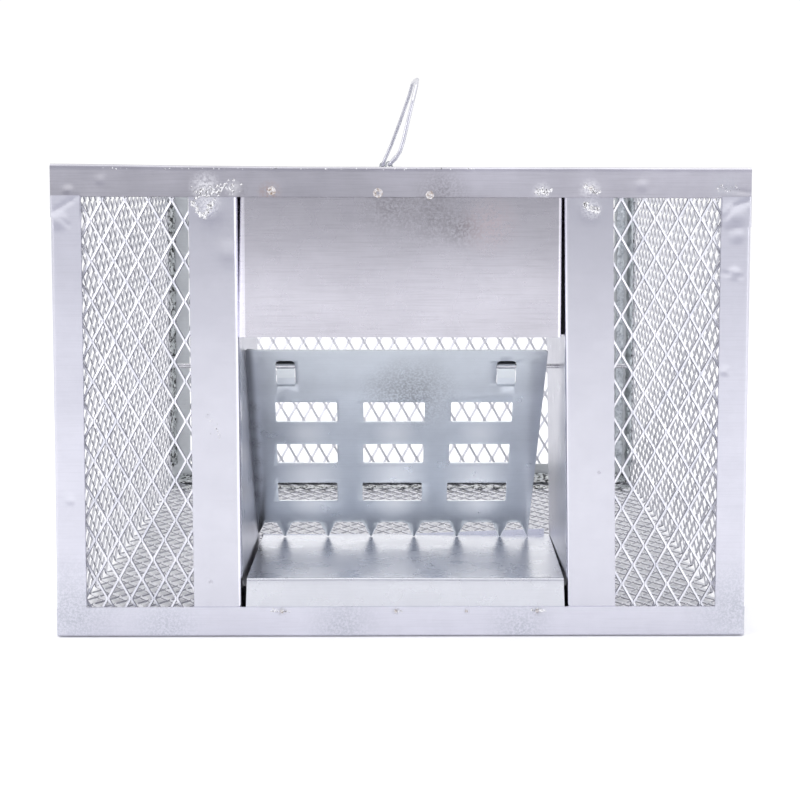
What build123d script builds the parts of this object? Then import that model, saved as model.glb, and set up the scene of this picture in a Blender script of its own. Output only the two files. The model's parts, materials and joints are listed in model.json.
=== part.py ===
"""Live catch trap: a galvanised cage with a one-way flap in its front wall.

The trap stands on the plane Z = 0.  The entrance faces -Y, +X is to the right
of someone looking into the entrance, and +Z is up.  The origin is the middle
of the footprint of the whole trap, gate pull included.  Sizes are in
millimetres.
"""
from build123d import *
import math
import os

os.makedirs("parts", exist_ok=True)

# ---------------------------------------------------------------- dimensions
cage_width = 350.0
cage_depth = 521.0
cage_height = 238.0

rail_width = 15.0          # face of every frame strip
rail_sheet = 1.0           # sheet of the frame strips
rail_return = 11.0         # flange that laps the mesh behind each strip
sheet = 0.8                # sheet of the folded plates
mesh_sheet = 1.6           # overall thickness of the expanded metal

mesh_short_pitch = 11.55   # short way of one diamond
mesh_long_pitch = 20.0     # long way of one diamond
strand_width = 1.5
coarse = 2                 # the cage walls carry every second diamond
mesh_border = 1.5

door_clear_width = 165.4   # between the two tunnel plates
post_width = 24.6
tunnel_depth = 130.0
lintel_bottom = 152.5
lintel_gap = 2.4           # slit between the lintel and each post
lintel_return = 12.0

sill_width = 163.6         # threshold box
sill_height = 30.0
sill_lip = 4.0             # upstand at its back, right-hand end

rod_radius = 1.2
rod_y = 42.0               # behind the front face
rod_z = 134.5
rod_overhang = 36.0        # past each tunnel plate
hole_clearance = 0.07
flap_clearance = 0.25      # between the rod and the back of the flap

flap_lean = 38.15          # from the vertical, toe inwards
flap_above = 13.0          # from the rod up to the top edge
flap_below = 130.7         # from the rod down to the teeth
flap_left_top = -81.1
flap_right_top = 75.8
flap_left_bottom = -81.7
flap_right_bottom = 71.2
tooth_height = 11.5
tooth_count = 8             # the outermost two are the corners of the flap
tooth_pitch = 24.3
tooth_tip = 1.0
tooth_root = 8.5
window_width = 33.0
window_height = 15.0
window_pitch_across = 46.7
window_rows = (32.0, 63.8, 94.3)   # centres below the rod
window_shift = -4.1
tab_width = 10.0
tab_positions = (-60.8, 54.8)
tab_play = 0.5             # between a tab and the side of its slot
tab_slot_top = 5.6         # above the rod
tab_slot_bottom = 1.0      # below the rod
window_corner = 1.5        # corner radius of a window
tab_slot_corner = 2.0

handle_wire = 1.2          # radius
handle_length = 160.0      # between the feet
handle_rise = 56.0
handle_lean = 17.5         # from the vertical, to the right
handle_yaw = 2.0           # of the line through the feet
handle_x = -10.2
handle_bar = 116.0         # straight top of the bail
handle_foot = 13.0         # turned-in end in the clip
handle_hook = 5.0          # retaining hook on each end
handle_bend = 1.9          # inner bends of the feet
strap_width = 26.0
strap_length = 196.0
clip_length = 6.0
clip_setback = 6.8         # from the leg of the bail to the middle of its clip
clip_wing = 7.0

gate_gap = 0.4
gate_sheet = 1.2
gate_side = 8.0
gate_top = 20.0
gate_pull_width = 60.0
gate_overhang = 7.0        # finger lip behind the cage
guide_depth = 3.0          # of the channels behind the rear frame
guide_lap = 9.0            # of a channel's back lip over the gate
gate_head_drop = 1.0       # from the top of the cage to the gate's top edge

# ------------------------------------------------------------- derived sizes
half_width = cage_width / 2
front = -(cage_depth + gate_overhang) / 2
back = front + cage_depth
rear_rail_back = back - guide_depth      # plane that the gate slides on
rear_rail_front = rear_rail_back - rail_sheet
mesh_front = front + rail_sheet
mesh_length = rear_rail_front - mesh_front
mesh_middle = (rear_rail_front + mesh_front) / 2
mesh_outer = half_width - rail_sheet     # outer face of the side mesh
mesh_inner = mesh_outer - mesh_sheet
floor_top = rail_sheet + mesh_sheet
roof_bottom = cage_height - rail_sheet - mesh_sheet
wall_height = roof_bottom - floor_top
wall_middle = (roof_bottom + floor_top) / 2
plate_front = front + rail_sheet         # folded plates sit behind the strips
plate_inner = door_clear_width / 2
flap_axis = Plane(
    origin=(0, front + rod_y, rod_z),
    x_dir=(1, 0, 0),
    z_dir=(0, -math.cos(math.radians(flap_lean)), -math.sin(math.radians(flap_lean))),
)
flap_face = rod_radius + flap_clearance  # from the rod axis to the back of the flap


def save(piece, name):
    """Label a finished piece and write it."""
    piece.part.label = name
    export_step(piece.part, f"parts/{name}.step")


def block(x_low, x_high, y_low, y_high, z_low, z_high, mode=Mode.ADD):
    """A box between two corners, added to the part being built."""
    with Locations(((x_low + x_high) / 2, (y_low + y_high) / 2, (z_low + z_high) / 2)):
        Box(x_high - x_low, y_high - y_low, z_high - z_low, mode=mode)


def expanded_sheet(plane, width, height, pitch_across, pitch_up, strand, thickness):
    """A flat sheet of expanded metal, centred on a plane, as a diamond lattice."""
    across = round((width - 2 * mesh_border) / pitch_across)
    up = round((height - 2 * mesh_border) / pitch_up)
    step_across = (width - 2 * mesh_border) / across
    step_up = (height - 2 * mesh_border) / up
    half_across = step_across / 2
    half_up = step_up / 2
    reach = half_across * half_up / math.hypot(half_across, half_up)
    shrink = 1 - strand / 2 / reach
    diamond = ((half_across, 0), (0, half_up), (-half_across, 0), (0, -half_up))
    base = plane.offset(-thickness / 2)
    full_rows = GridLocations(step_across, step_up, across, up)
    staggered_rows = GridLocations(step_across, step_up, across - 1, up - 1)
    holes = []
    for cell in full_rows.local_locations + staggered_rows.local_locations:
        middle = cell.position
        corners = [base.from_local_coords((middle.X + x * shrink, middle.Y + y * shrink))
                   for x, y in diamond]
        holes.append(Wire.make_polygon(corners, close=True))
    edge = [base.from_local_coords((x * width / 2, y * height / 2))
            for x, y in ((-1, -1), (1, -1), (1, 1), (-1, 1))]
    lattice = Face(Wire.make_polygon(edge, close=True), holes)
    extrude(lattice, amount=thickness, dir=plane.z_dir)


# ------------------------------------------------------------ front frame
with BuildPart() as front_rail_top:
    block(-half_width, half_width, front, plate_front, cage_height - rail_width, cage_height)
    block(-half_width, half_width, plate_front, plate_front + rail_return,
          cage_height - rail_sheet, cage_height)
save(front_rail_top, "front_rail_top")

with BuildPart() as front_rail_bottom:
    block(-half_width, half_width, front, plate_front, 0, rail_width)
    block(-half_width, half_width, plate_front, plate_front + rail_return, 0, rail_sheet)
save(front_rail_bottom, "front_rail_bottom")

for side, name in ((-1, "front_rail_left"), (1, "front_rail_right")):
    with BuildPart() as side_rail:
        outer = side * half_width
        face = sorted((outer, side * (half_width - rail_width)))
        flange = sorted((outer, side * mesh_outer))
        block(*face, front, plate_front, rail_width, cage_height - rail_width)
        block(*flange, plate_front, plate_front + rail_return,
              rail_width, cage_height - rail_width)
    save(side_rail, name)

# ------------------------------------------------------------- rear frame
with BuildPart() as rear_rail_top:
    block(-half_width, half_width, rear_rail_front, rear_rail_back,
          cage_height - rail_width, cage_height)
    block(-half_width, half_width, rear_rail_front - rail_return, rear_rail_front,
          cage_height - rail_sheet, cage_height)
save(rear_rail_top, "rear_rail_top")

with BuildPart() as rear_rail_bottom:
    block(-half_width, half_width, rear_rail_front, rear_rail_back, 0, rail_width)
    block(-half_width, half_width, rear_rail_front - rail_return, rear_rail_front,
          0, rail_sheet)
save(rear_rail_bottom, "rear_rail_bottom")

for side, name in ((-1, "rear_rail_left"), (1, "rear_rail_right")):
    with BuildPart() as side_rail:
        outer = side * half_width
        face = sorted((outer, side * (half_width - rail_width)))
        flange = sorted((outer, side * mesh_outer))
        block(*face, rear_rail_front, rear_rail_back, rail_width, cage_height - rail_width)
        block(*flange, rear_rail_front - rail_return, rear_rail_front,
              rail_width, cage_height - rail_width)
    save(side_rail, name)

# ------------------------------------------------------------- cage walls
for side, name in ((-1, "mesh_left"), (1, "mesh_right")):
    with BuildPart() as wall:
        expanded_sheet(
            Plane((side * (mesh_outer + mesh_inner) / 2, mesh_middle, wall_middle),
                  x_dir=(0, 1, 0), z_dir=(1, 0, 0)),
            mesh_length, wall_height,
            coarse * mesh_long_pitch, coarse * mesh_short_pitch,
            coarse * strand_width, mesh_sheet)
    save(wall, name)

for height, name in ((rail_sheet + mesh_sheet / 2, "mesh_floor"),
                     (roof_bottom + mesh_sheet / 2, "mesh_top")):
    with BuildPart() as wall:
        expanded_sheet(
            Plane((0, mesh_middle, height)),
            2 * mesh_outer, mesh_length,
            coarse * mesh_short_pitch, coarse * mesh_long_pitch,
            coarse * strand_width, mesh_sheet)
    save(wall, name)

# the two mesh windows beside the tunnel, behind the frame and the posts
window_inner = plate_inner + sheet
window_mesh_front = plate_front + sheet
for side, name in ((-1, "front_mesh_left"), (1, "front_mesh_right")):
    with BuildPart() as window_mesh:
        expanded_sheet(
            Plane((side * (mesh_inner + window_inner) / 2,
                   window_mesh_front + mesh_sheet / 2, wall_middle),
                  x_dir=(1, 0, 0), z_dir=(0, -1, 0)),
            mesh_inner - window_inner, wall_height,
            mesh_short_pitch, mesh_long_pitch, strand_width, mesh_sheet)
    save(window_mesh, name)

# ----------------------------------------------------------------- tunnel
through_cut = 4 * sheet                  # long enough to pass a plate from either side

# each side is one folded sheet: a post in the front face and a plate behind it
for side, name in ((-1, "tunnel_side_left"), (1, "tunnel_side_right")):
    with BuildPart() as tunnel_side:
        post = sorted((side * plate_inner, side * (plate_inner + post_width)))
        plate = sorted((side * plate_inner, side * (plate_inner + sheet)))
        block(*post, plate_front, plate_front + sheet, floor_top, roof_bottom)
        block(*plate, plate_front + sheet, front + tunnel_depth, floor_top, roof_bottom)
        with Locations(Plane((side * plate_inner, front + rod_y, rod_z), z_dir=(1, 0, 0))):
            Cylinder(rod_radius, through_cut, mode=Mode.SUBTRACT)
    save(tunnel_side, name)

with BuildPart() as lintel:
    lintel_half = plate_inner - lintel_gap
    lintel_back = plate_front + sheet
    block(-lintel_half, lintel_half, plate_front, lintel_back, lintel_bottom, roof_bottom)
    block(-lintel_half, lintel_half, lintel_back, lintel_back + lintel_return,
          lintel_bottom, lintel_bottom + sheet)
    for side in (-1, 1):
        flange = sorted((side * lintel_half, side * (lintel_half - sheet)))
        block(*flange, lintel_back, lintel_back + lintel_return,
              lintel_bottom + sheet, roof_bottom)
save(lintel, "lintel_plate")

with BuildPart() as threshold:
    sill_half = sill_width / 2
    sill_back = front + tunnel_depth
    block(-sill_half, sill_half, plate_front, plate_front + sheet,
          floor_top, sill_height - sheet)
    block(-sill_half, sill_half, plate_front, sill_back, sill_height - sheet, sill_height)
    with BuildSketch(Plane((0, sill_back, 0), x_dir=(1, 0, 0), z_dir=(0, -1, 0))):
        Polygon(
            (-sill_half, floor_top),
            (sill_half, floor_top),
            (sill_half, sill_height + sill_lip),
            (-sill_half, sill_height),
            align=None,
        )
    extrude(amount=sheet)
save(threshold, "threshold_box")

with BuildPart() as hinge_rod:
    with BuildSketch(Plane((0, front + rod_y, rod_z), z_dir=(1, 0, 0))):
        Circle(rod_radius)
    extrude(amount=plate_inner + sheet + rod_overhang, both=True)
save(hinge_rod, "hinge_rod")

# ------------------------------------------------------------------- flap
# In the plane of the flap X runs across it and Y runs up it from the rod.
with BuildPart() as flap:
    with BuildSketch(flap_axis.offset(flap_face)):
        with BuildLine():
            toe = []
            toe_middle = (flap_left_bottom + flap_right_bottom) / 2
            for number in range(tooth_count):
                middle = toe_middle + (number - (tooth_count - 1) / 2) * tooth_pitch
                middle = max(middle, flap_left_bottom + tooth_tip / 2)
                middle = min(middle, flap_right_bottom - tooth_tip / 2)
                left_root = max(middle - tooth_root / 2, flap_left_bottom)
                right_root = min(middle + tooth_root / 2, flap_right_bottom)
                left_tip = max(middle - tooth_tip / 2, flap_left_bottom)
                toe.append((left_root, -flap_below + tooth_height))
                toe.append((left_tip, -flap_below))
                toe.append((middle + tooth_tip / 2, -flap_below))
                toe.append((right_root, -flap_below + tooth_height))
            outline = [(flap_left_top, flap_above)] + toe[1:-1] + [(flap_right_top, flap_above)]
            Polyline(*outline, close=True)
        make_face()
        for row in window_rows:
            with Locations((window_shift, -row)):
                with GridLocations(window_pitch_across, 1, 3, 1):
                    RectangleRounded(window_width, window_height, window_corner,
                                     mode=Mode.SUBTRACT)
        slot_height = tab_slot_top + tab_slot_bottom
        for position in tab_positions:
            with Locations((position, (tab_slot_top - tab_slot_bottom) / 2)):
                RectangleRounded(tab_width, slot_height, tab_slot_corner, mode=Mode.SUBTRACT)
    extrude(amount=sheet)
    # each tab curls back from the foot of its slot, under and round the rod;
    # in the sketch X points out of the front of the flap and Y down it
    curl_inner = rod_radius + hole_clearance
    curl_outer = curl_inner + sheet
    for position in tab_positions:
        curl_plane = Plane(
            origin=flap_axis.from_local_coords((position, 0, 0)),
            x_dir=flap_axis.z_dir, z_dir=(1, 0, 0))
        with BuildSketch(curl_plane):
            Circle(curl_outer)
            with Locations((flap_face / 2 + sheet / 2, tab_slot_bottom + sheet)):
                Rectangle(flap_face + sheet, 2 * sheet)
            Circle(curl_inner, mode=Mode.SUBTRACT)
            with Locations((curl_outer, tab_slot_bottom - curl_outer)):
                Rectangle(2 * curl_outer - sheet, 2 * curl_outer, mode=Mode.SUBTRACT)
        extrude(amount=tab_width / 2 - tab_play, both=True)
save(flap, "flap_door")

# ----------------------------------------------------------------- handle
strap_top = cage_height - rail_sheet + sheet
axis_height = strap_top + handle_wire + hole_clearance + sheet
yaw = math.radians(handle_yaw)
lean = math.radians(handle_lean)
axis_direction = Vector(-math.sin(yaw), math.cos(yaw), 0)
sideways = Vector(math.cos(yaw), math.sin(yaw), 0)
bail_up = sideways * math.sin(lean) + Vector(0, 0, math.cos(lean))
bail_plane = Plane(
    origin=(handle_x, 0, axis_height), x_dir=axis_direction,
    z_dir=axis_direction.cross(bail_up))
strap_plane = Plane(origin=(handle_x, 0, cage_height - rail_sheet), x_dir=axis_direction,
                    z_dir=(0, 0, 1))

with BuildPart() as handle_strap:
    with BuildSketch(strap_plane):
        SlotOverall(strap_length, strap_width)
    extrude(amount=sheet)
save(handle_strap, "handle_strap")

clip_middle = handle_length / 2 - clip_setback
for end, name in ((-1, "handle_clip_front"), (1, "handle_clip_rear")):
    with BuildPart() as clip:
        with BuildSketch(Plane(
                origin=bail_plane.origin + axis_direction * (end * clip_middle),
                x_dir=sideways, z_dir=-axis_direction)):
            Circle(handle_wire + hole_clearance + sheet)
            with Locations((0, strap_top - axis_height + sheet / 2)):
                Rectangle(2 * clip_wing, sheet)
            Circle(handle_wire + hole_clearance, mode=Mode.SUBTRACT)
        extrude(amount=clip_length / 2, both=True)
    save(clip, name)

with BuildPart() as handle:
    foot_inner = handle_length / 2 - handle_foot
    with BuildLine(bail_plane) as bail_route:
        FilletPolyline(
            (-foot_inner, handle_hook),
            (-foot_inner, 0),
            (-handle_length / 2, 0),
            (-handle_bar / 2, handle_rise),
            (handle_bar / 2, handle_rise),
            (handle_length / 2, 0),
            (foot_inner, 0),
            (foot_inner, handle_hook),
            radius=handle_bend,
        )
    with BuildSketch(Plane(origin=bail_route.line @ 0, z_dir=bail_route.line % 0)):
        Circle(handle_wire)
    sweep()
save(handle, "handle_bail")

# ------------------------------------------------------------ release gate
# the gate slides up in channels on the back of the rear frame
channel_back = back - rail_sheet
for side, name in ((-1, "gate_guide_left"), (1, "gate_guide_right")):
    with BuildPart() as guide:
        web = sorted((side * half_width, side * mesh_outer))
        lip = sorted((side * mesh_outer, side * (mesh_outer - guide_lap)))
        block(*web, rear_rail_back, back, rail_sheet, cage_height)
        block(*lip, channel_back, back, rail_sheet, cage_height)
    save(guide, name)

sill_lip_half = mesh_outer - guide_lap
with BuildPart() as gate_sill:
    block(-half_width, half_width, rear_rail_back, back, 0, rail_sheet)
    block(-sill_lip_half, sill_lip_half, channel_back, back, rail_sheet,
          rail_sheet + gate_side)
save(gate_sill, "gate_sill")

gate_half = mesh_outer - gate_gap
gate_front = rear_rail_back + gate_gap
gate_back = gate_front + gate_sheet
gate_foot = rail_sheet + gate_gap
gate_head = cage_height - gate_head_drop
with BuildPart() as gate_strip_top:
    block(-gate_half, gate_half, gate_front, gate_back, gate_head - gate_top, gate_head)
save(gate_strip_top, "gate_strip_top")

with BuildPart() as gate_strip_bottom:
    block(-gate_half, gate_half, gate_front, gate_back, gate_foot, gate_foot + gate_side)
save(gate_strip_bottom, "gate_strip_bottom")

for side, name in ((-1, "gate_strip_left"), (1, "gate_strip_right")):
    with BuildPart() as strip:
        edge = sorted((side * gate_half, side * (gate_half - gate_side)))
        block(*edge, gate_front, gate_back, gate_foot + gate_side, gate_head - gate_top)
    save(strip, name)

gate_opening = gate_head - gate_top - gate_foot - gate_side
with BuildPart() as gate_mesh:
    expanded_sheet(
        Plane((0, (gate_front + gate_back) / 2, gate_foot + gate_side + gate_opening / 2),
              x_dir=(1, 0, 0), z_dir=(0, -1, 0)),
        2 * (gate_half - gate_side), gate_opening,
        mesh_short_pitch, mesh_long_pitch, strand_width, gate_sheet)
save(gate_mesh, "gate_mesh")

with BuildPart() as gate_pull:
    block(-gate_pull_width / 2, gate_pull_width / 2, gate_back, gate_back + sheet,
          gate_head - gate_side, gate_head)
    block(-gate_pull_width / 2, gate_pull_width / 2, gate_back + sheet,
          back + gate_overhang, gate_head - sheet, gate_head)
save(gate_pull, "gate_pull")
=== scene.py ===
"""Looks of the live catch trap: folded galvanised sheet, expanded metal and wire.

Everything is in metres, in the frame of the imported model.  The entrance faces
-Y, +X is to the right of someone looking in, and +Z is up.
"""

import json
import math

import bmesh
import bpy
import numpy as np
from mathutils import Matrix, Vector, noise


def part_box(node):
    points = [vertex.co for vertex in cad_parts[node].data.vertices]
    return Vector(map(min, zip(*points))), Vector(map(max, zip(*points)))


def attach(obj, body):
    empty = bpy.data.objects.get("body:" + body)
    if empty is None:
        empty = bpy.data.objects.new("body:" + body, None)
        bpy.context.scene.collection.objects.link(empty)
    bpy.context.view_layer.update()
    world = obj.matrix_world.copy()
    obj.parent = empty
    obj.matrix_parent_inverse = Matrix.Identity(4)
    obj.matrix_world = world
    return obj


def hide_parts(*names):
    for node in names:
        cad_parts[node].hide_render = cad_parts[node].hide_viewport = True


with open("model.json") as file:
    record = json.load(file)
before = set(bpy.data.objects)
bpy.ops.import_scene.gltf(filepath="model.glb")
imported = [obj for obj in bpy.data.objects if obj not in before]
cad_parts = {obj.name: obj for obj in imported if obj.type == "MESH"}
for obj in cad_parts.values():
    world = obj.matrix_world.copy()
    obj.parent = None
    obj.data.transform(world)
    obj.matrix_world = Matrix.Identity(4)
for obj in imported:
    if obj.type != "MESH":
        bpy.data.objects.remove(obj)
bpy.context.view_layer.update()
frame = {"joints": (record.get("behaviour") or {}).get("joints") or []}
mm = 0.001
hands = ((-1, "left"), (1, "right"))

# ------------------------------------------------- places taken from the frame
top_rail_low, top_rail_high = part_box("front_rail_top")
bottom_rail_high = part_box("front_rail_bottom")[1]
half_width = top_rail_high.x
front = top_rail_low.y
cage_top = top_rail_high.z
rail_width = bottom_rail_high.z
return_end = top_rail_high.y
rail_sheet = 1.0 * mm
sheet = 0.8 * mm
plate_front = front + rail_sheet
rear_low, rear_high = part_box("rear_rail_top")
rear_face = rear_high.y
left_post_low, left_post_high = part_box("tunnel_side_left")
right_post_low, right_post_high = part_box("tunnel_side_right")
lintel_low, lintel_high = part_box("lintel_plate")
sill_low, sill_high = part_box("threshold_box")
rod_low, rod_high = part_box("hinge_rod")
rod_centre = (rod_low + rod_high) / 2
rod_radius = (rod_high.z - rod_low.z) / 2
joints = {joint["name"]: joint for joint in frame["joints"]}
handle_joint = joints["handle_swing"]


# ------------------------------------------------------------ mesh helpers
def linked(name, data):
    """A new object of the scene."""
    made = bpy.data.objects.new(name, data)
    bpy.context.scene.collection.objects.link(made)
    return made


def new_mesh(name, points, faces):
    """A mesh from its points and faces."""
    mesh = bpy.data.meshes.new(name)
    mesh.from_pydata([tuple(point) for point in points], [], faces)
    mesh.update()
    return mesh


def band(near, far, count):
    """Faces between two rings of points, from the number of each ring's first point."""
    return [(near + index, near + (index + 1) % count, far + (index + 1) % count, far + index)
            for index in range(count)]


def add_object(name, mesh, body, material, crease=35):
    """Link a mesh as a piece of the trap that rides on a body."""
    piece = linked(name, mesh)
    mesh.materials.clear()
    mesh.materials.append(material)
    smooth_by_angle(mesh, crease)
    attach(piece, body)
    return piece


def smooth_by_angle(mesh, degrees):
    """Smooth shading that breaks where two faces meet at more than an angle."""
    form = bmesh.new()
    form.from_mesh(mesh)
    bmesh.ops.recalc_face_normals(form, faces=form.faces)
    limit = math.radians(degrees)
    for edge in form.edges:
        edge.smooth = len(edge.link_faces) == 2 and edge.calc_face_angle(0) < limit
    for face in form.faces:
        face.smooth = True
    form.to_mesh(mesh)
    form.free()


def rounded_path(points, radius, spacing, arc_step=0.35):
    """A path through points with arcs at its corners and no long gaps."""
    points = [Vector(point) for point in points]
    path = [points[0]]
    for before, corner, after in zip(points, points[1:], points[2:]):
        into = (corner - before).normalized()
        out = (after - corner).normalized()
        turn = into.angle(out, 0)
        if turn < 1e-4:
            path.append(corner)
            continue
        reach = radius * math.tan(turn / 2)
        start = corner - into * reach
        inward = (out - into * into.dot(out)).normalized()
        centre = start + inward * radius
        steps = max(2, math.ceil(turn / arc_step))
        for step in range(steps + 1):
            angle = turn * step / steps
            path.append(centre - inward * radius * math.cos(angle)
                        + into * radius * math.sin(angle))
    path.append(points[-1])
    dense = [path[0]]
    for start, end in zip(path, path[1:]):
        parts = max(1, math.ceil((end - start).length / spacing))
        for part in range(1, parts + 1):
            dense.append(start.lerp(end, part / parts))
    return dense


def sheet_outline(points, thickness, radius, spacing=4 * mm):
    """Closed cross-section of a bent sheet, from its centre line."""
    path = rounded_path([(x, y, 0) for x, y in points], radius, spacing)
    half = thickness / 2
    left, right = [], []
    for index, point in enumerate(path):
        before = path[max(index - 1, 0)]
        after = path[min(index + 1, len(path) - 1)]
        along = (after - before).normalized()
        across = Vector((-along.y, along.x, 0)) * half
        left.append(point + across)
        right.append(point - across)
    first = (path[1] - path[0]).normalized() * half * 0.5
    last = (path[-1] - path[-2]).normalized() * half * 0.5
    outline = left + [path[-1] + last] + right[::-1] + [path[0] - first]
    return [(point.x, point.y) for point in outline]


def swept_mesh(name, outline, place, start, end, spacing=4 * mm):
    """A closed outline carried along a line; place(u, v, w) gives the point."""
    steps = max(1, math.ceil((end - start) / spacing))
    count = len(outline)
    points, faces = [], []
    for step in range(steps + 1):
        along = start + (end - start) * step / steps
        points += [place(u, v, along) for u, v in outline]
    for step in range(steps):
        faces += band(step * count, (step + 1) * count, count)
    half = (count - 2) // 2
    for ring in (0, steps * count):
        # the outline is a strip: its two sides face each other across the sheet
        for index in range(half - 1):
            other = 2 * half - index
            faces.append((ring + index, ring + index + 1, ring + other - 1, ring + other))
        faces.append((ring + half - 1, ring + half, ring + half + 1))
        faces.append((ring, ring + 2 * half, ring + count - 1))
    return new_mesh(name, points, faces)


def folded(name, outline, place, start, end, body, material,
           shapes=(), spacing=4 * mm, node=None):
    """A piece of bent sheet: a profile carried along a line, then moved by each shape."""
    mesh = swept_mesh(name, outline, place, start, end, spacing)
    for shape in shapes:
        move_points(mesh, shape)
    piece = add_object(name, mesh, body, material)
    if node:
        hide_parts(node)


def along_x(u, v, w):
    """Profile in the YZ plane, carried along X."""
    return (w, u, v)


def along_z(u, v, w):
    """Profile in the XY plane, carried along Z."""
    return (u, v, w)


def tube_mesh(name, path, radius, sides=14):
    """A round wire along a path, with slightly rounded ends."""
    rings = []
    tangent = (path[1] - path[0]).normalized()
    across = tangent.orthogonal().normalized()
    stations = []
    for index, point in enumerate(path):
        before = path[max(index - 1, 0)]
        after = path[min(index + 1, len(path) - 1)]
        along = (after - before).normalized()
        across = (across - along * across.dot(along)).normalized()
        stations.append((point, along, across.copy(), radius))
    blunt = radius * 0.35
    first, last = stations[0], stations[-1]
    stations.insert(0, (first[0] - first[1] * blunt, first[1], first[2], radius * 0.55))
    stations.append((last[0] + last[1] * blunt, last[1], last[2], radius * 0.55))
    for point, along, side, size in stations:
        up = along.cross(side)
        for corner in range(sides):
            angle = 2 * math.pi * corner / sides
            rings.append(point + (side * math.cos(angle) + up * math.sin(angle)) * size)
    faces = []
    for ring in range(len(stations) - 1):
        faces += band(ring * sides, (ring + 1) * sides, sides)
    faces.append(tuple(range(sides)))
    faces.append(tuple(range((len(stations) - 1) * sides, len(stations) * sides)))
    return new_mesh(name, rings, faces)


def plate_mesh(name, outline, holes, thickness, bevel, cell):
    """A flat plate in XY with rounded edges, cut into small faces."""
    curve = bpy.data.curves.new(name, "CURVE")
    curve.dimensions = "2D"
    curve.fill_mode = "BOTH"
    curve.extrude = thickness / 2 - bevel
    curve.bevel_depth = bevel
    curve.bevel_resolution = 1
    for loop in [outline] + holes:
        spline = curve.splines.new("POLY")
        spline.points.add(len(loop) - 1)
        for point, (x, y) in zip(spline.points, loop):
            point.co = (x, y, 0, 1)
        spline.use_cyclic_u = True
    carrier = linked(name, curve)
    mesh = bpy.data.meshes.new_from_object(carrier.evaluated_get(
        bpy.context.evaluated_depsgraph_get()))
    bpy.data.objects.remove(carrier)
    bpy.data.curves.remove(curve)
    form = bmesh.new()
    form.from_mesh(mesh)
    bmesh.ops.remove_doubles(form, verts=form.verts, dist=0.01 * mm)
    xs = [point[0] for point in outline]
    ys = [point[1] for point in outline]
    for axis, values in ((Vector((1, 0, 0)), xs), (Vector((0, 1, 0)), ys)):
        cut = min(values) + cell
        while cut < max(values) - cell / 2:
            bmesh.ops.bisect_plane(form, geom=form.verts[:] + form.edges[:] + form.faces[:],
                                   plane_co=axis * cut, plane_no=axis)
            cut += cell
    form.to_mesh(mesh)
    form.free()
    return mesh


def rounded_rectangle(x, y, width, height, radius, steps=4):
    """Corner points of a rounded rectangle, anticlockwise."""
    loop = []
    for corner, (sx, sy) in enumerate(((1, 1), (-1, 1), (-1, -1), (1, -1))):
        for step in range(steps + 1):
            angle = math.pi / 2 * (corner + step / steps)
            loop.append((x + sx * (width / 2 - radius) + radius * math.cos(angle),
                         y + sy * (height / 2 - radius) + radius * math.sin(angle)))
    return loop


def move_points(mesh, shift):
    """Move every point of a mesh by shift(point)."""
    for vertex in mesh.vertices:
        vertex.co = vertex.co + shift(vertex.co)
    mesh.update()


def waves(point, size, seed):
    """Smooth uneven number from -1 to 1, the same for each run."""
    return noise.noise(point / size + Vector((seed, seed * 1.7, -seed)))


def dent(point, centre, radius):
    """Depth from 0 to 1 of a soft round dent."""
    away = (point - Vector(centre)).length / radius
    return max(0.0, 1 - away * away) ** 2


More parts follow.
